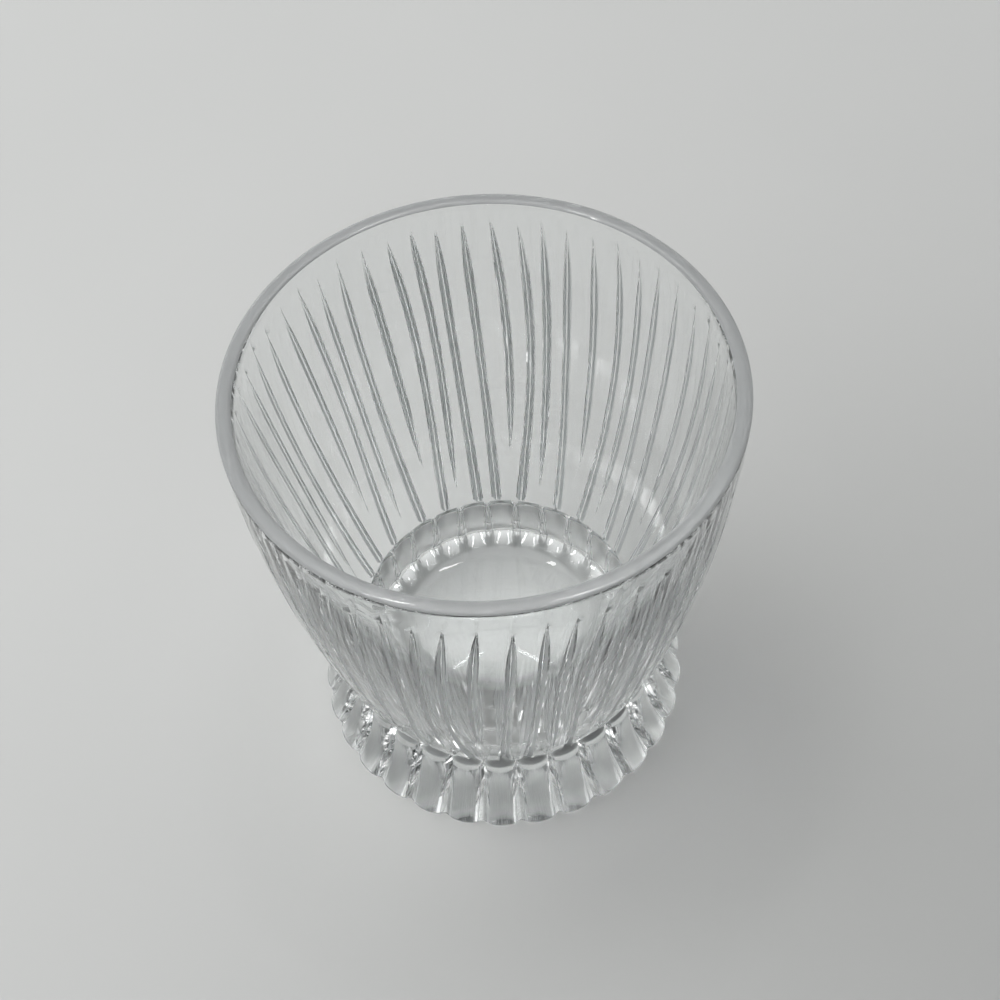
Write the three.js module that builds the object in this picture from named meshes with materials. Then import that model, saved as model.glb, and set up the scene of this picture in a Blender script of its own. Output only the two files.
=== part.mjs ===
// A footed rocks glass of clear cut glass: a bowl with upright tapered cuts, fused to a ribbed foot.
// Millimetres, +Z up, origin on the table under the middle of the foot.

import * as THREE from 'three';

const { clamp, degToRad, lerp, smoothstep } = THREE.MathUtils;

// Overall sizes
const HEIGHT = 97;
const RIM_RADIUS = 44;
const WAIST_HEIGHT = 18;
const WAIST_RADIUS = 32.5;
const FOOT_RADIUS = 38.8;

// Glass thickness: at the rim, beside the inside's lower corner, and the rounding of the rim
const RIM_WALL = 2.7;
const BASE_WALL = 7.2;
const RIM_ROUND = 0.6;

// Outside curve of the bowl: how far it runs on from the waist and down from the rim before it bends,
// and the step from the neck between bowl and foot up to the wall
const WAIST_FLARE = 5.8;
const WAIST_RISE = 16;
const RIM_DROP = 27;
const WAIST_STEP = 0.5;

// Inside of the bowl: floor above the table, corner radius and the slope of the wall above it
const FLOOR_HEIGHT = 10.5;
const FLOOR_FILLET = 6;
const WALL_SLOPE = degToRad(22);

// Seam between bowl and foot: the bowl's flat underside, its shoulder at the waist and the seam's gap
const BOWL_FLOOR = 4.5;
const SEAT_RADIUS = 21;
const SHOULDER_WIDTH = 3;
const SEAM_GAP = 0.3;

// Cuts down the wall: their number, section and pointed ends
const CUT_COUNT = 54;
const CUT_START = degToRad(6);
const CUT_WIDTH = 1.9;
const CUT_DEPTH = 0.75;
const CUT_LEAST_WIDTH = 0.5;
const CUT_TOP_MARGIN = 5;
const CUT_TOP_TAPER = 16;
const CUT_MEDIUM_END = 21;
const CUT_SHORT_END = 30;
const CUT_END_TAPER = 22;
const CUT_WAIST_WIDTH = 2.4;
const CUT_UNEVEN_TOP = 0.8;
const CUT_UNEVEN_TURN = 2.4;

// The cuts' lines: waves round the glass that make them lean and bow together and set which run long
const CUT_WAVES = 12;
const CUT_LONG_LIMIT = 0.65;
const CUT_LEAN = degToRad(3.4);
const CUT_SWAY = degToRad(1.6);
const CUT_SWAY_LAG = degToRad(35);
const CUT_BOW = degToRad(1.5);
const CUT_BOW_SWAY = degToRad(2);

// Foot: broad round ribs with narrow grooves between them, the ribs' share of their pitch at the head and at
// the table, and how much of a rib's height its round crown takes
const RIB_COUNT = 30;
const RIB_START = degToRad(8);
const RIB_HEIGHT = 2.7;
const RIB_TABLE_HEIGHT = 1;
const RIB_HEAD_DROP = 0.8;
const RIB_HEAD_LENGTH = 2.4;
const RIB_HEAD_SHARE = 0.82;
const RIB_TABLE_SHARE = 0.55;
const RIB_LEAST_SHARE = 0.05;
const RIB_BULGE = 0.25;

// Foot: its flare from the waist, the edge on the table and the hollow underneath
const FOOT_FLARE = 0.7;
const FOOT_EDGE = 0.8;
const HOLLOW_RADIUS = 30;
const HOLLOW_DEPTH = 1.2;

const WALL_ROWS = 13;
const INSIDE_ROWS = 6;
const FILLET_ROWS = 3;
const FOOT_ROWS = 8;
const HOLLOW_ROWS = 3;
const CROWN_STEPS = 4;

const cutStep = 2 * Math.PI / CUT_COUNT;
const ribStep = 2 * Math.PI / RIB_COUNT;
const waistDepth = CUT_DEPTH * CUT_WAIST_WIDTH / CUT_WIDTH;
const neckRadius = WAIST_RADIUS - waistDepth;
const seatHeight = FLOOR_HEIGHT - BOWL_FLOOR;
const shoulderRadius = WAIST_RADIUS - SHOULDER_WIDTH;

function cutPhase(index) {
  return CUT_WAVES * cutStep * index;
}

// Angle of a cut's bottom line at a height: the cuts lean and bow like flames towards the waist
function cutAngle(index, height) {
  const down = (HEIGHT - height) / (HEIGHT - WAIST_HEIGHT);
  const lean = CUT_LEAN + CUT_SWAY * Math.cos(cutPhase(index) + CUT_SWAY_LAG);
  const bow = CUT_BOW - CUT_BOW_SWAY * Math.cos(cutPhase(index));
  return CUT_START + cutStep * index - lean * down - bow * Math.sin(Math.PI * down);
}

// Half width of a pointed end along its length: 0 at the point, 1 from a length of 1
function needle(length) {
  const along = clamp(length, 0, 1);
  return along * (2 - along);
}

// Width of a cut at a height: pointed at the top, then either pointed again or widening to the waist
function cutWidth(index, height) {
  const top = HEIGHT - CUT_TOP_MARGIN - CUT_UNEVEN_TOP * Math.sin(index * CUT_UNEVEN_TURN);
  const opening = needle((top - height) / CUT_TOP_TAPER);
  const side = Math.sin(cutPhase(index));
  if (Math.abs(side) < CUT_LONG_LIMIT) {
    const low = 1 - smoothstep(height, WAIST_HEIGHT, CUT_SHORT_END + CUT_END_TAPER);
    return opening * lerp(CUT_WIDTH, CUT_WAIST_WIDTH, low);
  }
  const end = side < 0 ? CUT_SHORT_END : CUT_MEDIUM_END;
  return opening * CUT_WIDTH * needle((height - end) / CUT_END_TAPER);
}

// One ring of the bowl's outside: both edges and the bottom line of every cut
function cutRing(radius, height) {
  const ring = [];
  for (let index = 0; index < CUT_COUNT; index += 1) {
    const angle = cutAngle(index, height);
    const width = cutWidth(index, height);
    const half = Math.max(width, CUT_LEAST_WIDTH) / 2 / radius;
    const depth = CUT_DEPTH * width / CUT_WIDTH;
    ring.push(polar(radius, angle - half, height));
    ring.push(polar(radius - depth, angle, height));
    ring.push(polar(radius, angle + half, height));
  }
  return ring;
}

// One plain ring of the bowl, with its points in line with those of the wall at a given height
function plainRing(radius, height, lineHeight) {
  return cutRing(RIM_RADIUS, lineHeight).map((point) => polar(radius, Math.atan2(point.y, point.x), height));
}

function polar(radius, angle, height) {
  return new THREE.Vector3(radius * Math.cos(angle), radius * Math.sin(angle), height);
}

// Closed body lofted through rings that start and end on the axis
function loft(startHeight, rings, endHeight) {
  const columns = rings[0].length;
  const points = [new THREE.Vector3(0, 0, startHeight), ...rings.flat(), new THREE.Vector3(0, 0, endHeight)];
  const last = points.length - 1;
  const faces = [];
  const at = (row, column) => 1 + row * columns + column % columns;
  for (let column = 0; column < columns; column += 1) {
    faces.push(0, at(0, column + 1), at(0, column));
    for (let row = 0; row + 1 < rings.length; row += 1) {
      faces.push(at(row, column), at(row, column + 1), at(row + 1, column + 1));
      faces.push(at(row, column), at(row + 1, column + 1), at(row + 1, column));
    }
    faces.push(at(rings.length - 1, column), at(rings.length - 1, column + 1), last);
  }
  const geometry = new THREE.BufferGeometry().setFromPoints(points);
  geometry.setIndex(faces);
  geometry.computeVertexNormals();
  return geometry;
}

// Outside of the bowl from the waist to just under the rim
const outsideCurve = new THREE.CubicBezierCurve(
  new THREE.Vector2(WAIST_RADIUS, WAIST_HEIGHT + WAIST_STEP),
  new THREE.Vector2(WAIST_RADIUS + WAIST_FLARE, WAIST_HEIGHT + WAIST_RISE),
  new THREE.Vector2(RIM_RADIUS, HEIGHT - RIM_DROP),
  new THREE.Vector2(RIM_RADIUS, HEIGHT - RIM_ROUND),
);

// Inside of the bowl from just under the rim to the top of the floor's fillet
const insideRadius = RIM_RADIUS - RIM_WALL;
const filletTop = new THREE.Vector2(
  WAIST_RADIUS - BASE_WALL,
  FLOOR_HEIGHT + FLOOR_FILLET * (1 - Math.sin(WALL_SLOPE)),
);
const insideCurve = new THREE.CubicBezierCurve(
  new THREE.Vector2(insideRadius, HEIGHT - RIM_ROUND),
  new THREE.Vector2(insideRadius, HEIGHT - RIM_DROP),
  new THREE.Vector2(filletTop.x + WAIST_RISE * Math.tan(WALL_SLOPE), filletTop.y + WAIST_RISE),
  filletTop,
);

function bowlGeometry() {
  const rings = [
    plainRing(SEAT_RADIUS, seatHeight, WAIST_HEIGHT),
    plainRing(shoulderRadius, WAIST_HEIGHT, WAIST_HEIGHT),
    plainRing(neckRadius, WAIST_HEIGHT, WAIST_HEIGHT),
  ];
  for (let row = 0; row <= WALL_ROWS; row += 1) {
    const point = outsideCurve.getPoint(row / WALL_ROWS);
    rings.push(cutRing(point.x, point.y));
  }
  rings.push(plainRing(RIM_RADIUS - RIM_ROUND, HEIGHT, HEIGHT));
  rings.push(plainRing(insideRadius + RIM_ROUND, HEIGHT, HEIGHT));
  for (let row = 0; row <= INSIDE_ROWS; row += 1) {
    const point = insideCurve.getPoint(row / INSIDE_ROWS);
    rings.push(plainRing(point.x, point.y, HEIGHT));
  }
  const filletAxis = filletTop.x - FLOOR_FILLET * Math.cos(WALL_SLOPE);
  for (let row = 1; row <= FILLET_ROWS; row += 1) {
    const turn = lerp(WALL_SLOPE, Math.PI / 2, row / FILLET_ROWS);
    const radius = filletAxis + FLOOR_FILLET * Math.cos(turn);
    rings.push(plainRing(radius, FLOOR_HEIGHT + FLOOR_FILLET * (1 - Math.sin(turn)), HEIGHT));
  }
  return loft(seatHeight, rings, FLOOR_HEIGHT);
}

// Side of the foot along the ribs' crowns, flaring from the waist to the edge on the table
const footCurve = new THREE.QuadraticBezierCurve(
  new THREE.Vector2(FOOT_RADIUS, FOOT_EDGE),
  new THREE.Vector2(lerp(FOOT_RADIUS, WAIST_RADIUS, FOOT_FLARE), (FOOT_EDGE + WAIST_HEIGHT) / 2),
  new THREE.Vector2(WAIST_RADIUS, WAIST_HEIGHT),
);

// Depth of the grooves at a height: shallow at the table, deepest half way up, as deep as the cuts at the waist
function grooveDepth(height) {
  const share = (height - FOOT_EDGE) / (WAIST_HEIGHT - FOOT_EDGE);
  const depth = lerp(RIB_TABLE_HEIGHT, RIB_HEIGHT, clamp(2 * share, 0, 1));
  return lerp(depth, waistDepth, clamp(2 * share - 1, 0, 1) ** 2);
}

// How far a rib has risen out of its round head at a height, from 0 above it to 1 below it
function headRise(height) {
  const below = clamp((WAIST_HEIGHT - RIB_HEAD_DROP - height) / RIB_HEAD_LENGTH, 0, 1);
  return Math.sqrt(1 - (1 - below) ** 2);
}

// One ring of the foot: per rib the bottom line of the groove before it, then its round crown
function ribRing(radius, height) {
  const ring = [];
  const rise = headRise(height);
  const floor = radius - grooveDepth(height);
  const share = Math.max(lerp(RIB_TABLE_SHARE, RIB_HEAD_SHARE, height / WAIST_HEIGHT) * rise, RIB_LEAST_SHARE);
  for (let rib = 0; rib < RIB_COUNT; rib += 1) {
    const middle = RIB_START + ribStep * (rib + 0.5);
    ring.push(polar(floor, middle - ribStep / 2, height));
    for (let step = 0; step <= CROWN_STEPS; step += 1) {
      const across = 2 * step / CROWN_STEPS - 1;
      const crown = lerp(floor, radius, rise * (1 - RIB_BULGE * across ** 2));
      ring.push(polar(crown, middle + ribStep / 2 * share * across, height));
    }
  }
  return ring;
}

// One round ring of the foot, with its points in line with those of the ribs at a given height
function roundRing(radius, height, lineHeight) {
  return ribRing(FOOT_RADIUS, lineHeight).map((point) => polar(radius, Math.atan2(point.y, point.x), height));
}

function footGeometry() {
  const rings = [];
  for (let row = 1; row <= HOLLOW_ROWS; row += 1) {
    const share = row / HOLLOW_ROWS;
    rings.push(roundRing(HOLLOW_RADIUS * share, HOLLOW_DEPTH * (1 - share ** 2) ** 2, 0));
  }
  rings.push(ribRing(FOOT_RADIUS - FOOT_EDGE, 0));
  for (let row = 0; row <= FOOT_ROWS; row += 1) {
    const point = footCurve.getPoint(row / FOOT_ROWS);
    rings.push(ribRing(point.x, point.y));
  }
  rings.push(roundRing(shoulderRadius + SEAM_GAP, WAIST_HEIGHT, WAIST_HEIGHT));
  rings.push(roundRing(SEAT_RADIUS + SEAM_GAP, seatHeight, WAIST_HEIGHT));
  return loft(HOLLOW_DEPTH, rings, seatHeight);
}

function clearGlass() {
  return new THREE.MeshStandardMaterial({
    color: 0xdfe6e6,
    roughness: 0.04,
    metalness: 0,
    transparent: true,
    opacity: 0.35,
  });
}

const bowl = new THREE.Mesh(bowlGeometry(), clearGlass());
bowl.name = 'bowl';

const foot = new THREE.Mesh(footGeometry(), clearGlass());
foot.name = 'foot';

const glass = new THREE.Group();
glass.add(bowl, foot);

export default glass;
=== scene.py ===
import math

import bpy
from mathutils import Matrix, Vector


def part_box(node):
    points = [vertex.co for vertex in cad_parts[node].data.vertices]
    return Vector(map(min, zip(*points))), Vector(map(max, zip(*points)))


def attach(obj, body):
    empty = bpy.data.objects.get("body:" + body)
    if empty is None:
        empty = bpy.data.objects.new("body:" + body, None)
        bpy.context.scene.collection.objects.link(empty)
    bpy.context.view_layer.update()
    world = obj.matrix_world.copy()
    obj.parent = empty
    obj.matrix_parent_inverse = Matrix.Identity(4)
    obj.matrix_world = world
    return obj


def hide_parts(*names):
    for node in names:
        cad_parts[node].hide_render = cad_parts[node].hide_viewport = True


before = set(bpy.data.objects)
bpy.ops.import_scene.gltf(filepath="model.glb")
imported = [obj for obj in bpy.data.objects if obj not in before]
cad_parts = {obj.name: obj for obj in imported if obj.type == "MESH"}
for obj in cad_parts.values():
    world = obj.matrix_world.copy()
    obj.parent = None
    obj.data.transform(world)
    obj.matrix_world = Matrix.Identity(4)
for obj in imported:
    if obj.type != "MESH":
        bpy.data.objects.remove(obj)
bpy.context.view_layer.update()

# Overall sizes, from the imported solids
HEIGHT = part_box("bowl")[1].z
RIM_RADIUS = max(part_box("bowl")[1].xy)
WAIST_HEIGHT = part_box("foot")[1].z
FOOT_RADIUS = max(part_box("foot")[1].xy)
WAIST_RADIUS = 0.0325

# Glass thickness at the rim and beside the inside's lower corner
RIM_WALL = 0.0027
BASE_WALL = 0.0072

# Round of the rim: its height, and the power of its curve, which under 1 is fuller than an ellipse
RIM_ROUND = 0.0006
RIM_POWER = 0.7

# Outside curve of the bowl: how far it runs on from the waist and down from the rim before it bends
WAIST_FLARE = 0.0058
WAIST_RISE = 0.016
RIM_DROP = 0.027
WAIST_STEP = 0.0005

# Inside of the bowl: floor above the table, corner radius and the slope of the wall above it
FLOOR_HEIGHT = 0.0105
FLOOR_FILLET = 0.006
WALL_SLOPE = math.radians(22)

# Seam between bowl and foot
BOWL_FLOOR = 0.0045
SEAT_RADIUS = 0.021
SHOULDER_WIDTH = 0.003

# Cuts down the wall: their number, section and pointed ends
# The section's places are shares of half the cut's width, and its facet depth a share of the cut's depth
# The tops are uneven by a wave that turns by CUT_UNEVEN_TURN radians from each cut to the next
CUT_COUNT = 54
CUT_START = math.radians(6)
CUT_WIDTH = 0.0019
CUT_DEPTH = 0.00075
CUT_LEAST_WIDTH = 0.0005
CUT_FACET_PLACE = 0.4
CUT_FACET_DEPTH = 0.67
CUT_BOTTOM_PLACE = 0.1
CUT_TOP_MARGIN = 0.005
CUT_TOP_TAPER = 0.016
CUT_MEDIUM_END = 0.021
CUT_SHORT_END = 0.030
CUT_END_TAPER = 0.022
CUT_WAIST_WIDTH = 0.0024
CUT_UNEVEN_TOP = 0.0008
CUT_UNEVEN_TURN = 2.4

# The cuts' lines: waves round the glass that make them lean and bow together and set which run long
CUT_WAVES = 12
CUT_LONG_LIMIT = 0.65
CUT_LEAN = math.radians(3.4)
CUT_SWAY = math.radians(1.6)
CUT_SWAY_LAG = math.radians(35)
CUT_BOW = math.radians(1.5)
CUT_BOW_SWAY = math.radians(2)

# Foot: broad round ribs with narrow grooves between them, which widen towards the table
# The head, table and least shares are of the ribs' pitch, the full share is of the foot's height
RIB_COUNT = 30
RIB_START = math.radians(8)
RIB_HEIGHT = 0.0027
RIB_TABLE_HEIGHT = 0.0010
RIB_HEAD_DROP = 0.0008
RIB_HEAD_LENGTH = 0.0024
RIB_HEAD_SHARE = 0.82
RIB_TABLE_SHARE = 0.55
RIB_LEAST_SHARE = 0.05
RIB_FULL_SHARE = 0.5
RIB_BULGE = 0.25
RIB_FLANK_PLACE = 0.4

# Foot: its side, the edge on the table and the hollow underneath
# The side bends at shares of the way from the edge to the waist: FOOT_FLARE inwards, FOOT_BEND upwards
FOOT_FLARE = 0.7
FOOT_BEND = 0.5
FOOT_EDGE = 0.0008
HOLLOW_RADIUS = 0.030
HOLLOW_DEPTH = 0.0012

# How much shade is painted on the glass as matt grey, which sets how matt and how dark it is
# Painted shade on the round of the rim: matt glass in a grey tone
RIM_PAINTED_SHADE = 0.5
# Painted shade on the rib flanks: matt glass in a pale grey tone
RIB_FLANK_PAINTED_SHADE = 0.55
# Painted shade on the rib heads: matt glass in a dark grey tone, a dark ring under the bowl
RIB_HEAD_PAINTED_SHADE = 2.4
MATT_START = 0.35
MATT_FULL = 0.6
DARK_START = 1.2
DARK_FULL = 1.8

# Depth below the waist at which the painted shade on the rib heads starts, and at which it is full
RIB_SHADE_START = 0.0020
RIB_SHADE_FULL = 0.0018

# Tones of the clear glass, and the painted shade tones of its matt facets and rib flanks, rib heads and rim
# MATT_CLEARNESS is how much clear glass is left where it is fully matt
CLEAR_TONES = ((0.975, 0.985, 0.984, 1), (0.985, 0.994, 0.993, 1))
# Painted shade: pale grey on the cuts' facets and the rib flanks, in place of the dark lines the clear cuts
# show
FACET_PAINTED_SHADE_TONE = (0.62, 0.64, 0.64, 1)
# Painted shade: the dark grey tone of the rib heads
RIB_HEAD_PAINTED_SHADE_TONE = (0.36, 0.37, 0.37, 1)
# Painted shade: the grey tone of the rim's round
RIM_PAINTED_SHADE_TONE = (0.23, 0.242, 0.246, 1)
MATT_CLEARNESS = 0.1
GLASS_IOR = 1.52

# Slight waves in the polish
WAVE_SCALE = 90
WAVE_DETAIL = 1
WAVE_STRENGTH = 0.1
WAVE_HEIGHT = 0.00005

# Table, and the air between the foot and it
TABLE_HALF = 6.0
TABLE_GAP = 0.0001
TABLE_TONES = ((0.57, 0.575, 0.565, 1), (0.61, 0.615, 0.605, 1))
TABLE_GRAIN_SCALE = 8
TABLE_GRAIN_DETAIL = 2
TABLE_ROUGHNESS = 0.6
TABLE_SHEEN = 0.2

# Shade board over the right of the table
BOARD_LOW = (0.03, -0.42)
BOARD_HIGH = (0.45, 0.05)
BOARD_HEIGHT = 0.45
CARD_TONE = (0.03, 0.03, 0.03, 1)
CARD_ROUGHNESS = 0.9

# Room: tones of its walls from the horizon upwards, and the light in its ceiling, by direction
WALL_TONE = (0.6, 0.61, 0.61, 1)
UPPER_WALL_TONE = (0.1, 0.104, 0.107, 1)
WALL_FADE = (0.1, 0.35)
CEILING_DIRECTION = Vector((0, 0.12, 1)).normalized()
CEILING_FADE = (0.82, 0.95)
CEILING_STRENGTH = 2.8

# Lamps: a wide window at the left and two narrow lamps in the ceiling
WINDOW_PLACE = (-0.9, 0.1, 0.8)
WINDOW_SIZE = (1.8, 1.5)
WINDOW_WATTS = 11.5
CEILING_LAMP_PLACES = {"ceiling_lamp_left": (-0.24, 0.2, 1.1), "ceiling_lamp_right": (0.2, 0.2, 1.1)}
CEILING_LAMP_SIZE = (0.34, 0.03)
CEILING_LAMP_WATTS = 0.5

# Camera, with its lens and sensor in millimetres
CAMERA_PLACE = (0, -0.1455, 0.2754)
CAMERA_YAW = math.radians(0.62)
CAMERA_PITCH = math.radians(55.69)
CAMERA_ROLL = math.radians(-3.73)
CAMERA_LENS = 50.4
CAMERA_SENSOR = 36
CAMERA_CLIP_START = 0.01

# Steps a ray of light may take: in all and through glass, by reflection, and through the melted seam
GLASS_STEPS = 32
MIRROR_STEPS = 10
SEAM_STEPS = 24

# Rows of the meshes
WALL_ROWS = 80
RIM_ROWS = 8
INSIDE_ROWS = 36
FILLET_ROWS = 12
FOOT_ROWS = 56
EDGE_ROWS = 5
HOLLOW_ROWS = 8

# Edges that turn by more than this stay sharp
SHARP_ANGLE = math.radians(24)

waist_depth = CUT_DEPTH * CUT_WAIST_WIDTH / CUT_WIDTH
neck_radius = WAIST_RADIUS - waist_depth
seat_height = FLOOR_HEIGHT - BOWL_FLOOR
shoulder_radius = WAIST_RADIUS - SHOULDER_WIDTH


# Rules written as node trees


class Number:
    """A number in a node tree, so that a rule reads as plain arithmetic."""

    def __init__(self, tree, socket):
        self.tree = tree
        self.socket = socket

    def feed(self, socket, value):
        if isinstance(value, Number):
            self.tree.links.new(value.socket, socket)
        else:
            socket.default_value = value

    def apply(self, operation, *values):
        node = self.tree.nodes.new("ShaderNodeMath")
        node.operation = operation
        for socket, value in zip(node.inputs, values):
            self.feed(socket, value)
        return Number(self.tree, node.outputs[0])

    def __add__(self, other):
        return self.apply("ADD", self, other)

    def __sub__(self, other):
        return self.apply("SUBTRACT", self, other)

    def __rsub__(self, other):
        return self.apply("SUBTRACT", other, self)

    def __mul__(self, other):
        return self.apply("MULTIPLY", self, other)

    def __rmul__(self, other):
        return self.apply("MULTIPLY", other, self)

    def __truediv__(self, other):
        return self.apply("DIVIDE", self, other)

    def __rtruediv__(self, other):
        return self.apply("DIVIDE", other, self)

    def sin(self):
        return self.apply("SINE", self)

    def cos(self):
        return self.apply("COSINE", self)

    def sqrt(self):
        return self.apply("SQRT", self)

    def magnitude(self):
        return self.apply("ABSOLUTE", self)

    def under(self, other):
        return self.apply("LESS_THAN", self, other)

    def at_least(self, other):
        return self.apply("MAXIMUM", self, other)

    def at_most(self, other):
        return self.apply("MINIMUM", self, other)

    def blend(self, start, end):
        """start where this number is 0 and end where it is 1"""
        return start + self * (end - start)

    def needle(self):
        """Half width of a pointed end along its length: 0 at the point, 1 from a length of 1."""
        along = self.at_least(0).at_most(1)
        return along * (2 - along)

    def step(self, start, end):
        """Smooth step from 0 at start to 1 at end."""
        node = self.tree.nodes.new("ShaderNodeMapRange")
        node.interpolation_type = "SMOOTHSTEP"
        self.feed(node.inputs["Value"], self)
        self.feed(node.inputs["From Min"], start)
        self.feed(node.inputs["From Max"], end)
        return Number(self.tree, node.outputs["Result"])


class Rule:
    """A Geometry Nodes tree with named sizes that moves each point of a turned blank to its place."""

    def __init__(self, name):
        self.tree = bpy.data.node_groups.new(name, "GeometryNodeTree")
        self.nodes = self.tree.nodes
        self.tree.interface.new_socket("Geometry", in_out="INPUT", socket_type="NodeSocketGeometry")
        self.tree.interface.new_socket("Geometry", in_out="OUTPUT", socket_type="NodeSocketGeometry")
        self.entry = self.nodes.new("NodeGroupInput")
        self.sizes = {}

    def size(self, name, value):
        socket = self.tree.interface.new_socket(name, in_out="INPUT", socket_type="NodeSocketFloat")
        self.sizes[socket.identifier] = value
        return Number(self.tree, self.entry.outputs[name])

    def attribute(self, name):
        node = self.nodes.new("GeometryNodeInputNamedAttribute")
        node.data_type = "FLOAT"
        node.inputs["Name"].default_value = name
        return Number(self.tree, node.outputs["Attribute"])

    def finish(self, angle, radius, height, painted_shade, glass, seam):
        """Places the points, marks how much shade is painted on them and gives the piece its glass and its
        seam.
        """
        place = self.nodes.new("ShaderNodeCombineXYZ")
        for name, number in zip("XYZ", (radius * angle.cos(), radius * angle.sin(), height)):
            self.tree.links.new(number.socket, place.inputs[name])
        move = self.nodes.new("GeometryNodeSetPosition")
        self.tree.links.new(place.outputs["Vector"], move.inputs["Position"])
        mark = self.nodes.new("GeometryNodeStoreNamedAttribute")
        mark.inputs["Name"].default_value = "painted_shade"
        self.tree.links.new(painted_shade.socket, mark.inputs["Value"])
        realize = self.nodes.new("GeometryNodeRealizeInstances")
        clear = self.nodes.new("GeometryNodeSetMaterial")
        clear.inputs["Material"].default_value = glass
        fused = self.nodes.new("GeometryNodeSetMaterial")
        fused.inputs["Material"].default_value = seam
        self.tree.links.new(self.attribute("fused").socket, fused.inputs["Selection"])
        leave = self.nodes.new("NodeGroupOutput")
        steps = [self.entry, move, mark, realize, clear, fused, leave]
        for before, after in zip(steps, steps[1:]):
            self.tree.links.new(before.outputs["Geometry"], after.inputs["Geometry"])


class CutLines:
    """The lines of the cuts as a rule: where each one runs at a height, and which of them run long."""

    def __init__(self, rule):
        self.pitch = math.tau / rule.size("Cuts", CUT_COUNT)
        self.start = rule.size("Start", CUT_START)
        self.top = rule.size("Height", HEIGHT)
        self.waist = rule.size("Waist Height", WAIST_HEIGHT)
        self.waves = rule.size("Waves", CUT_WAVES)
        self.lean = rule.size("Lean", CUT_LEAN)
        self.sway = rule.size("Sway", CUT_SWAY)
        self.lag = rule.size("Sway Lag", CUT_SWAY_LAG)
        self.bow = rule.size("Bow", CUT_BOW)
        self.bow_sway = rule.size("Bow Sway", CUT_BOW_SWAY)

    def phase(self, cut):
        return self.waves * self.pitch * cut

    def side(self, cut):
        """Under 0 on the short side of its wave, over 0 on the medium side, near 0 where it runs long."""
        return self.phase(cut).sin()

    def angle(self, cut, height):
        down = (self.top - height) / (self.top - self.waist)
        lean = self.lean + self.sway * (self.phase(cut) + self.lag).cos()
        bow = self.bow - self.bow_sway * self.phase(cut).cos()
        return self.start + self.pitch * cut - lean * down - bow * (math.pi * down).sin()


# Turned blanks


def turned_blank(name, rows, columns, column_values):
    """Closed turned body from pole to pole, with the values of its rows and columns on its points.

    A row's fused value marks the faces up to the next row, where bowl and foot are one body of glass.
    """
    inner = rows[1:-1]
    points = [(0, 0, rows[0]["height"])]
    for row in inner:
        for column in range(columns):
            turn = math.tau * column / columns
            points.append((row["radius"] * math.cos(turn), row["radius"] * math.sin(turn), row["height"]))
    points.append((0, 0, rows[-1]["height"]))
    top = len(points) - 1
    faces = []
    fused = []

    def at(row, column):
        return 1 + row * columns + column % columns

    for column in range(columns):
        faces.append((0, at(0, column + 1), at(0, column)))
        fused.append(rows[0]["fused"])
        for row in range(len(inner) - 1):
            lower = (at(row, column), at(row, column + 1))
            upper = (at(row + 1, column + 1), at(row + 1, column))
            faces.append(lower + upper)
            fused.append(inner[row]["fused"])
        faces.append((at(len(inner) - 1, column), at(len(inner) - 1, column + 1), top))
        fused.append(inner[-1]["fused"])
    mesh = bpy.data.meshes.new(name)
    mesh.from_pydata(points, [], faces)
    mesh.attributes.new("fused", "FLOAT", "FACE").data.foreach_set("value", fused)
    for key, values in column_values.items():
        spread = values[:1] + values * len(inner) + values[:1]
        mesh.attributes.new(key, "FLOAT", "POINT").data.foreach_set("value", spread)
    for key in rows[0]:
        if key != "fused":
            spread = [row[key] for row in inner for column in range(columns)]
            spread = [rows[0][key]] + spread + [rows[-1][key]]
            mesh.attributes.new(key, "FLOAT", "POINT").data.foreach_set("value", spread)
    blank = bpy.data.objects.new(name, mesh)
    bpy.context.scene.collection.objects.link(blank)
    return blank


def shaped(blank, rule):
    """The blank as a plain mesh, with its points moved by the rule."""
    modifier = blank.modifiers.new(rule.tree.name, "NODES")
    modifier.node_group = rule.tree
    for identifier, value in rule.sizes.items():
        modifier[identifier] = value
    depsgraph = bpy.context.evaluated_depsgraph_get()
    mesh = bpy.data.meshes.new_from_object(blank.evaluated_get(depsgraph))
    blank.modifiers.clear()
    blank.data = mesh
    mesh.shade_smooth()
    mesh.set_sharp_from_angle(angle=SHARP_ANGLE)
    return blank


def curve_point(points, share):
    """Point of a Bezier curve with these control points, a share of the way along it."""
    while len(points) > 1:
        points = [a.lerp(b, share) for a, b in zip(points, points[1:])]
    return points[0]


# Bowl


def bowl_row(radius, height, line, carved=0, rim_painted_shade=0, fused=0):
    """A ring of points, with line as the height at which its cuts' lines are read."""
    return dict(radius=radius, height=height, line=line, carved=carved, rim_painted_shade=rim_painted_shade, fused=fused)


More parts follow.
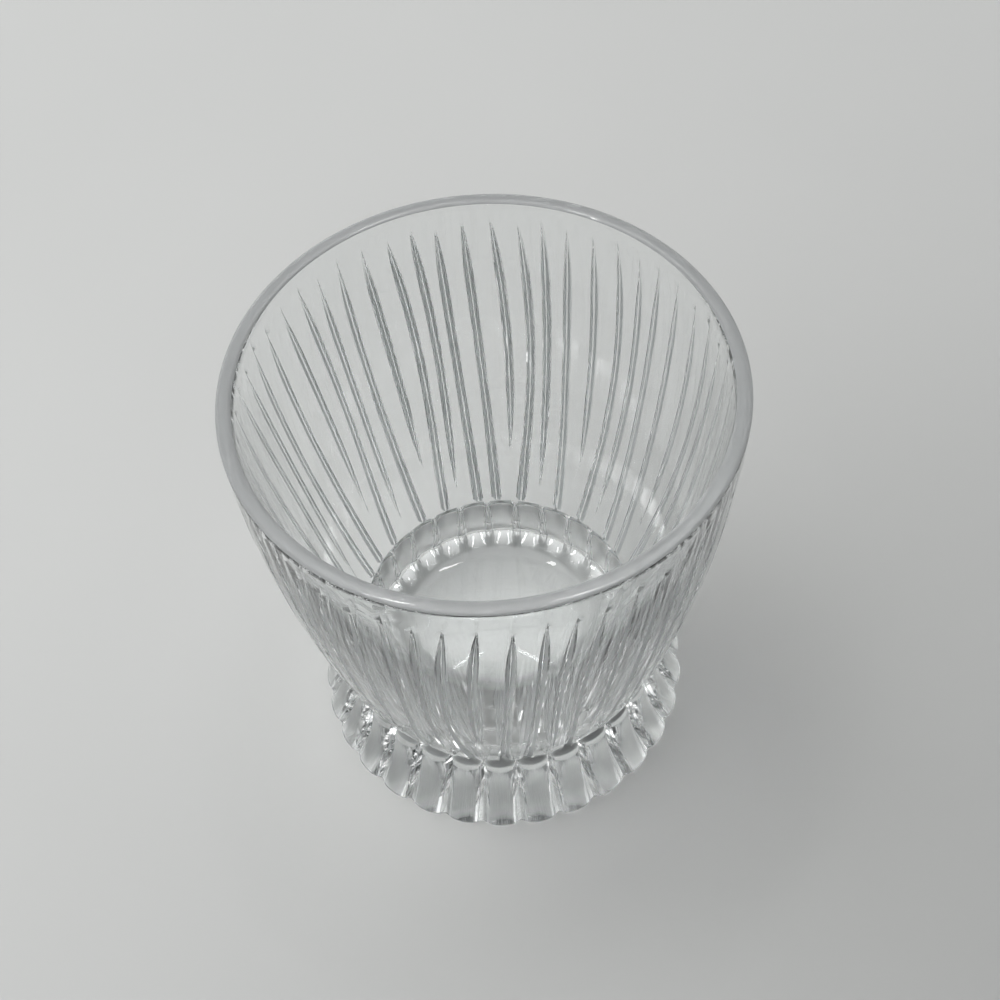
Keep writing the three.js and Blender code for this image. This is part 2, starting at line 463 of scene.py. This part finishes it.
def bowl_rows():
    """Rows from under the bowl, up its carved outside, over the rim and down to the floor."""
    rows = [
        bowl_row(0, seat_height, WAIST_HEIGHT, fused=1),
        bowl_row(SEAT_RADIUS, seat_height, WAIST_HEIGHT, fused=1),
        bowl_row(shoulder_radius, WAIST_HEIGHT, WAIST_HEIGHT, fused=1),
        bowl_row(neck_radius, WAIST_HEIGHT, WAIST_HEIGHT),
    ]
    outside = [
        Vector((WAIST_RADIUS, WAIST_HEIGHT + WAIST_STEP)),
        Vector((WAIST_RADIUS + WAIST_FLARE, WAIST_HEIGHT + WAIST_RISE)),
        Vector((RIM_RADIUS, HEIGHT - RIM_DROP)),
        Vector((RIM_RADIUS, HEIGHT - RIM_ROUND)),
    ]
    for row in range(WALL_ROWS + 1):
        point = curve_point(outside, row / WALL_ROWS)
        rows.append(bowl_row(point.x, point.y, point.y, carved=1))
    for row in range(1, RIM_ROWS):
        turn = math.pi * row / RIM_ROWS
        bulge = math.copysign(abs(math.cos(turn)) ** RIM_POWER, math.cos(turn))
        radius = RIM_RADIUS - RIM_WALL / 2 * (1 - bulge)
        height = HEIGHT - RIM_ROUND * (1 - math.sin(turn) ** RIM_POWER)
        # The rim's rows carry painted grey shade
        rows.append(bowl_row(radius, height, HEIGHT, rim_painted_shade=1))
    inside_radius = RIM_RADIUS - RIM_WALL
    fillet_height = FLOOR_HEIGHT + FLOOR_FILLET * (1 - math.sin(WALL_SLOPE))
    fillet_top = Vector((WAIST_RADIUS - BASE_WALL, fillet_height))
    inside = [
        Vector((inside_radius, HEIGHT - RIM_ROUND)),
        Vector((inside_radius, HEIGHT - RIM_DROP)),
        fillet_top + WAIST_RISE * Vector((math.tan(WALL_SLOPE), 1)),
        fillet_top,
    ]
    for row in range(INSIDE_ROWS + 1):
        point = curve_point(inside, row / INSIDE_ROWS)
        rows.append(bowl_row(point.x, point.y, HEIGHT))
    axis = fillet_top.x - FLOOR_FILLET * math.cos(WALL_SLOPE)
    for row in range(1, FILLET_ROWS + 1):
        turn = WALL_SLOPE + (math.pi / 2 - WALL_SLOPE) * row / FILLET_ROWS
        radius = axis + FLOOR_FILLET * math.cos(turn)
        rows.append(bowl_row(radius, FLOOR_HEIGHT + FLOOR_FILLET * (1 - math.sin(turn)), HEIGHT))
    rows.append(bowl_row(0, FLOOR_HEIGHT, HEIGHT))
    return rows


def bowl_rule(glass, seam):
    """Places the bowl's points on the cuts' lines and carves each cut to its depth."""
    rule = Rule("wheel_cuts")
    lines = CutLines(rule)
    width = rule.size("Cut Width", CUT_WIDTH)
    least = rule.size("Least Width", CUT_LEAST_WIDTH)
    depth = rule.size("Cut Depth", CUT_DEPTH)
    waist_width = rule.size("Waist Width", CUT_WAIST_WIDTH)
    margin = rule.size("Top Margin", CUT_TOP_MARGIN)
    top_taper = rule.size("Top Taper", CUT_TOP_TAPER)
    long_limit = rule.size("Long Limit", CUT_LONG_LIMIT)
    medium_end = rule.size("Medium End", CUT_MEDIUM_END)
    short_end = rule.size("Short End", CUT_SHORT_END)
    end_taper = rule.size("End Taper", CUT_END_TAPER)
    uneven_top = rule.size("Uneven Top", CUT_UNEVEN_TOP)
    uneven_turn = rule.size("Uneven Turn", CUT_UNEVEN_TURN)
    neck = rule.size("Neck Radius", neck_radius)
    rim_shade_amount = rule.size("Rim Painted Shade", RIM_PAINTED_SHADE)
    radius = rule.attribute("radius")
    height = rule.attribute("height")
    line = rule.attribute("line")
    cut = rule.attribute("cut")

    def cut_width(number):
        top = lines.top - margin - uneven_top * (number * uneven_turn).sin()
        opening = ((top - line) / top_taper).needle()
        low = 1 - line.step(lines.waist, short_end + end_taper)
        long_width = low.blend(width, waist_width)
        side = lines.side(number)
        end = side.under(0).blend(medium_end, short_end)
        pointed_width = width * ((line - end) / end_taper).needle()
        runs_long = side.magnitude().under(long_limit)
        return opening * runs_long.blend(pointed_width, long_width)

    def half_angle(number):
        return cut_width(number).at_least(least) / (2 * radius.at_least(neck))

    start = lines.angle(cut, line) + half_angle(cut) * rule.attribute("across")
    edge = lines.angle(cut, line) + half_angle(cut)
    next_edge = lines.angle(cut + 1, line) - half_angle(cut + 1)
    angle = start + rule.attribute("land") * (next_edge - edge)
    fullness = cut_width(cut) / width * rule.attribute("carved")
    deep = depth * fullness * rule.attribute("hollow")
    # Painted shade: matt grey on the cuts' facets, as full as the cut is deep, and on the round of the rim
    painted_shade = fullness * rule.attribute("facet") + rim_shade_amount * rule.attribute("rim_painted_shade")
    rule.finish(angle, radius - deep, height, painted_shade, glass, seam)
    return rule


def make_bowl(glass, seam):
    """The bowl from columns for each cut, from edge to edge, and for the land beside it."""
    across = [-1, -CUT_FACET_PLACE, -CUT_BOTTOM_PLACE, CUT_BOTTOM_PLACE, CUT_FACET_PLACE, 1, 1, 1, 1]
    land = [0, 0, 0, 0, 0, 0, 0.25, 0.5, 0.75]
    hollow = [0, CUT_FACET_DEPTH, 1, 1, CUT_FACET_DEPTH, 0, 0, 0, 0]
    facet = [0, 1, 0, 0, 1, 0, 0, 0, 0]
    columns = {
        "cut": [number for number in range(CUT_COUNT) for place in across],
        "across": across * CUT_COUNT,
        "land": land * CUT_COUNT,
        "hollow": hollow * CUT_COUNT,
        "facet": facet * CUT_COUNT,
    }
    blank = turned_blank("bowl_body", bowl_rows(), CUT_COUNT * len(across), columns)
    return shaped(blank, bowl_rule(glass, seam))


# Foot


def foot_row(radius, height, ridge=None, fused=0):
    """A ring of points, with its radius in the grooves and on the ribs' ridges."""
    return dict(radius=radius, height=height, ridge=ridge or radius, fused=fused)


def foot_rows():
    """Rows from the hollow underneath over the edge on the table and up the ribs to the seam."""
    rows = [foot_row(0, HOLLOW_DEPTH)]
    for row in range(1, HOLLOW_ROWS + 1):
        share = row / HOLLOW_ROWS
        rows.append(foot_row(HOLLOW_RADIUS * share, HOLLOW_DEPTH * (1 - share ** 2) ** 2))
    for row in range(EDGE_ROWS):
        turn = math.pi / 2 * row / EDGE_ROWS
        ridge = FOOT_RADIUS - FOOT_EDGE * (1 - math.sin(turn))
        rows.append(foot_row(ridge - RIB_TABLE_HEIGHT, FOOT_EDGE * (1 - math.cos(turn)), ridge))
    edge = Vector((FOOT_RADIUS, FOOT_EDGE))
    waist = Vector((WAIST_RADIUS, WAIST_HEIGHT))
    side = [edge, Vector((edge.lerp(waist, FOOT_FLARE).x, edge.lerp(waist, FOOT_BEND).y)), waist]
    for row in range(FOOT_ROWS + 1):
        point = curve_point(side, row / FOOT_ROWS)
        share = (point.y - FOOT_EDGE) / (WAIST_HEIGHT - FOOT_EDGE)
        lower = min(1, share / RIB_FULL_SHARE)
        upper = max(0, (share - RIB_FULL_SHARE) / (1 - RIB_FULL_SHARE))
        rise = RIB_TABLE_HEIGHT + (RIB_HEIGHT - RIB_TABLE_HEIGHT) * lower
        rise += (waist_depth - rise) * upper ** 2
        below = min(1, max(0, (WAIST_HEIGHT - RIB_HEAD_DROP - point.y) / RIB_HEAD_LENGTH))
        lift = math.sqrt(1 - (1 - below) ** 2)
        rows.append(foot_row(point.x - rise, point.y, point.x - rise + rise * lift))
    rows[-1]["fused"] = 1
    rows.append(foot_row(shoulder_radius, WAIST_HEIGHT, fused=1))
    rows.append(foot_row(SEAT_RADIUS, seat_height, fused=1))
    rows.append(foot_row(0, seat_height))
    return rows


def foot_rule(glass, seam):
    """Places the foot's points on round-headed ribs and in grooves, and marks painted shade on the heads
    and the flanks.
    """
    rule = Rule("pressed_ribs")
    pitch = math.tau / rule.size("Ribs", RIB_COUNT)
    first = rule.size("First Groove", RIB_START)
    waist = rule.size("Waist Height", WAIST_HEIGHT)
    head_drop = rule.size("Head Drop", RIB_HEAD_DROP)
    head_length = rule.size("Head Length", RIB_HEAD_LENGTH)
    head_share = rule.size("Head Share", RIB_HEAD_SHARE)
    table_share = rule.size("Table Share", RIB_TABLE_SHARE)
    least_share = rule.size("Least Share", RIB_LEAST_SHARE)
    table_height = rule.size("Table Height", RIB_TABLE_HEIGHT)
    shade_start = rule.size("Shade Start", RIB_SHADE_START)
    shade_full = rule.size("Shade Full", RIB_SHADE_FULL)
    flank_shade_amount = rule.size("Flank Painted Shade", RIB_FLANK_PAINTED_SHADE)
    head_shade_amount = rule.size("Head Painted Shade", RIB_HEAD_PAINTED_SHADE)
    floor = rule.attribute("radius")
    height = rule.attribute("height")
    middle = first + pitch * (rule.attribute("rib") + 0.5)
    above = (1 - (waist - head_drop - height) / head_length).at_least(0).at_most(1)
    spread = (height / waist).blend(table_share, head_share)
    share = (spread * (1 - above * above).sqrt()).at_least(least_share)
    place = rule.attribute("crown") * share + rule.attribute("groove") * (1 - share)
    rise = rule.attribute("rise")
    ridge = rule.attribute("ridge")
    # Painted shade on the rib heads, full just under the waist
    head = ((height - waist + shade_start) / (shade_start - shade_full)).at_least(0).at_most(1)
    side = ((ridge - floor) / table_height).at_most(1)
    # Painted shade: matt pale grey on the rib flanks, matt dark grey on the rib heads
    painted_shade = rule.attribute("flank") * side * flank_shade_amount + head * rise * head_shade_amount
    radius = floor + rise * (ridge - floor)
    rule.finish(middle + pitch / 2 * place, radius, height, painted_shade, glass, seam)
    return rule


def make_foot(glass, seam):
    """The foot from columns for each rib, from the groove at its left to the one at its right."""
    crown = [-1, -1, -1, -1, -0.8, -0.5, 0, 0.5, 0.8, 1, 1, 1]
    groove = [-1, -0.8, -RIB_FLANK_PLACE, 0, 0, 0, 0, 0, 0, 0, RIB_FLANK_PLACE, 0.8]
    rise = [(1 - abs(out)) * (1 - RIB_BULGE * place ** 2) for place, out in zip(crown, groove)]
    flank = [float(abs(out) == RIB_FLANK_PLACE) for out in groove]
    columns = {
        "rib": [number for number in range(RIB_COUNT) for place in crown],
        "crown": crown * RIB_COUNT,
        "groove": groove * RIB_COUNT,
        "rise": rise * RIB_COUNT,
        "flank": flank * RIB_COUNT,
    }
    blank = turned_blank("foot_body", foot_rows(), RIB_COUNT * len(crown), columns)
    return shaped(blank, foot_rule(glass, seam))


# Finishes


def new_material(name):
    material = bpy.data.materials.new(name)
    material.use_nodes = True
    material.node_tree.nodes.clear()
    return material


def surface(material, shader):
    """The material with the shader as its surface."""
    output = material.node_tree.nodes.new("ShaderNodeOutputMaterial")
    material.node_tree.links.new(shader.outputs["BSDF"], output.inputs["Surface"])
    return material


def uneven(tree, scale, detail):
    """Soft noise through the piece."""
    place = tree.nodes.new("ShaderNodeTexCoord")
    noise = tree.nodes.new("ShaderNodeTexNoise")
    noise.inputs["Scale"].default_value = scale
    noise.inputs["Detail"].default_value = detail
    tree.links.new(place.outputs["Object"], noise.inputs["Vector"])
    return noise.outputs["Fac"]


def marked(tree, name):
    """A value that the mesh carries on its points."""
    node = tree.nodes.new("ShaderNodeAttribute")
    node.attribute_name = name
    return node.outputs["Fac"]


def between(tree, value, low, high, start=0, end=1, curve="LINEAR"):
    """start where the value is low or less, end where it is high or more"""
    node = tree.nodes.new("ShaderNodeMapRange")
    node.interpolation_type = curve
    sizes = {"From Min": low, "From Max": high, "To Min": start, "To Max": end}
    for name, size in sizes.items():
        node.inputs[name].default_value = size
    tree.links.new(value, node.inputs["Value"])
    return node.outputs["Result"]


def mixed(tree, share, first, second):
    """The first tone where the share is 0 and the second where it is 1, each a colour or a socket."""
    node = tree.nodes.new("ShaderNodeMix")
    node.data_type = "RGBA"
    tree.links.new(share, node.inputs["Factor"])
    for name, tone in (("A", first), ("B", second)):
        if isinstance(tone, tuple):
            node.inputs[name].default_value = tone
        else:
            tree.links.new(tone, node.inputs[name])
    return node.outputs["Result"]


def clear_glass(name):
    """Polished clear glass with a faint cool cast, slightly uneven, and matt where shade is painted on it.

    The painted shade is pale on the facets of the cuts and the rib flanks, darker on the rib heads and grey
    on the round of the rim.
    """
    material = new_material(name)
    tree = material.node_tree
    waves = uneven(tree, WAVE_SCALE, WAVE_DETAIL)
    bump = tree.nodes.new("ShaderNodeBump")
    bump.inputs["Strength"].default_value = WAVE_STRENGTH
    bump.inputs["Distance"].default_value = WAVE_HEIGHT
    tree.links.new(waves, bump.inputs["Height"])
    painted_shade = marked(tree, "painted_shade")
    matt = between(tree, painted_shade, MATT_START, MATT_FULL)
    # Painted shade tones: pale on the cuts' facets and the rib flanks, dark grey on the rib heads
    facet_and_head_shade_tone = mixed(tree, between(tree, painted_shade, DARK_START, DARK_FULL), FACET_PAINTED_SHADE_TONE, RIB_HEAD_PAINTED_SHADE_TONE)
    # On the rim the painted grey shade takes the place of the other matt tones
    painted_matt_tone = mixed(tree, marked(tree, "rim_painted_shade"), facet_and_head_shade_tone, RIM_PAINTED_SHADE_TONE)
    clear_tone = mixed(tree, waves, *CLEAR_TONES)
    clearness = between(tree, matt, 0, 1, start=1, end=MATT_CLEARNESS)
    body = tree.nodes.new("ShaderNodeBsdfPrincipled")
    body.inputs["IOR"].default_value = GLASS_IOR
    body.inputs["Roughness"].default_value = 0
    tree.links.new(mixed(tree, matt, clear_tone, painted_matt_tone), body.inputs["Base Color"])
    tree.links.new(clearness, body.inputs["Transmission Weight"])
    tree.links.new(bump.outputs["Normal"], body.inputs["Normal"])
    return surface(material, body)


def melted_seam():
    """The seam inside the base, where the glass runs on unbroken."""
    material = new_material("melted_seam")
    return surface(material, material.node_tree.nodes.new("ShaderNodeBsdfTransparent"))


def table_top():
    """Pale matt table, slightly uneven in tone."""
    material = new_material("table_top")
    tree = material.node_tree
    grain = uneven(tree, TABLE_GRAIN_SCALE, TABLE_GRAIN_DETAIL)
    body = tree.nodes.new("ShaderNodeBsdfPrincipled")
    body.inputs["Roughness"].default_value = TABLE_ROUGHNESS
    body.inputs["Specular IOR Level"].default_value = TABLE_SHEEN
    tree.links.new(mixed(tree, grain, *TABLE_TONES), body.inputs["Base Color"])
    return surface(material, body)


def black_card():
    material = new_material("black_card")
    body = material.node_tree.nodes.new("ShaderNodeBsdfPrincipled")
    body.inputs["Base Color"].default_value = CARD_TONE
    body.inputs["Roughness"].default_value = CARD_ROUGHNESS
    return surface(material, body)


# Stage, light and camera


def flat_sheet(name, low, high, height, material):
    """A level rectangle from its low corner to its high one."""
    corners = [(low[0], low[1]), (high[0], low[1]), (high[0], high[1]), (low[0], high[1])]
    mesh = bpy.data.meshes.new(name)
    mesh.from_pydata([(x, y, height) for x, y in corners], [], [(0, 1, 2, 3)])
    mesh.materials.append(material)
    sheet = bpy.data.objects.new(name, mesh)
    bpy.context.scene.collection.objects.link(sheet)
    return sheet


def make_table():
    """The table, a hair under the foot, so that the foot's face and the table never lie in one plane."""
    corner = Vector((TABLE_HALF, TABLE_HALF))
    table = flat_sheet("table", -corner, corner, -TABLE_GAP, table_top())


def make_shade():
    """A dark board over the right of the table, out of sight, that keeps some of the light off it."""
    board = flat_sheet("shade_board", BOARD_LOW, BOARD_HIGH, BOARD_HEIGHT, black_card())
    board.visible_camera = False
    board.visible_glossy = False
    board.visible_transmission = False


def make_room():
    """Pale round the horizon as a studio sweep is, dim above it, with a broad soft light in the ceiling."""
    world = bpy.data.worlds.new("room")
    bpy.context.scene.world = world
    world.use_nodes = True
    tree = world.node_tree
    direction = tree.nodes.new("ShaderNodeTexCoord").outputs["Generated"]
    split = tree.nodes.new("ShaderNodeSeparateXYZ")
    tree.links.new(direction, split.inputs["Vector"])
    upwards = between(tree, split.outputs["Z"], *WALL_FADE)
    walls = tree.nodes["Background"]
    tree.links.new(mixed(tree, upwards, WALL_TONE, UPPER_WALL_TONE), walls.inputs["Color"])
    towards = tree.nodes.new("ShaderNodeVectorMath")
    towards.operation = "DOT_PRODUCT"
    towards.inputs[1].default_value = CEILING_DIRECTION
    tree.links.new(direction, towards.inputs[0])
    glow = between(tree, towards.outputs["Value"], *CEILING_FADE, end=CEILING_STRENGTH, curve="SMOOTHSTEP")
    ceiling = tree.nodes.new("ShaderNodeBackground")
    tree.links.new(glow, ceiling.inputs["Strength"])
    both = tree.nodes.new("ShaderNodeAddShader")
    tree.links.new(walls.outputs["Background"], both.inputs[0])
    tree.links.new(ceiling.outputs["Background"], both.inputs[1])
    tree.links.new(both.outputs["Shader"], tree.nodes["World Output"].inputs["Surface"])


def make_lamp(name, place, size, watts, mirrored):
    """A lamp aimed at the middle of the foot, seen in the glass by reflection only where it is mirrored."""
    lamp = bpy.data.lights.new(name, "AREA")
    lamp.shape = "RECTANGLE"
    lamp.size = size[0]
    lamp.size_y = size[1]
    lamp.energy = watts
    body = bpy.data.objects.new(name, lamp)
    body.location = place
    body.rotation_euler = (-Vector(place)).to_track_quat("-Z", "Y").to_euler()
    body.visible_camera = False
    body.visible_glossy = mirrored
    bpy.context.scene.collection.objects.link(body)


def make_lamps():
    make_lamp("window_lamp", WINDOW_PLACE, WINDOW_SIZE, WINDOW_WATTS, mirrored=False)
    for name, place in CEILING_LAMP_PLACES.items():
        make_lamp(name, place, CEILING_LAMP_SIZE, CEILING_LAMP_WATTS, mirrored=True)


def make_camera():
    """Looks steeply down into the glass, a little turned and tilted as the photograph was held."""
    level_ahead = Vector((math.sin(CAMERA_YAW), math.cos(CAMERA_YAW), 0))
    ahead = math.cos(CAMERA_PITCH) * level_ahead - math.sin(CAMERA_PITCH) * Vector((0, 0, 1))
    level = Vector((math.cos(CAMERA_YAW), -math.sin(CAMERA_YAW), 0))
    upright = level.cross(ahead)
    right = math.cos(CAMERA_ROLL) * level + math.sin(CAMERA_ROLL) * upright
    up = math.cos(CAMERA_ROLL) * upright - math.sin(CAMERA_ROLL) * level
    data = bpy.data.cameras.new("camera")
    data.sensor_width = CAMERA_SENSOR
    data.lens = CAMERA_LENS
    data.clip_start = CAMERA_CLIP_START
    camera = bpy.data.objects.new("camera", data)
    turn = Matrix((right, up, -ahead)).transposed().to_4x4()
    camera.matrix_world = Matrix.Translation(CAMERA_PLACE) @ turn
    bpy.context.scene.collection.objects.link(camera)
    bpy.context.scene.camera = camera


def main():
    scene = bpy.context.scene
    scene.view_settings.view_transform = "Standard"
    scene.cycles.max_bounces = GLASS_STEPS
    scene.cycles.transmission_bounces = GLASS_STEPS
    scene.cycles.glossy_bounces = MIRROR_STEPS
    scene.cycles.transparent_max_bounces = SEAM_STEPS
    scene.cycles.blur_glossy = 0
    make_camera()
    make_table()
    make_room()
    make_shade()
    make_lamps()
    seam = melted_seam()
    bowl = make_bowl(clear_glass("polished_bowl_glass"), seam)
    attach(bowl, "root")
    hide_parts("bowl")
    foot = make_foot(clear_glass("polished_foot_glass"), seam)
    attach(foot, "root")
    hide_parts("foot")


main()
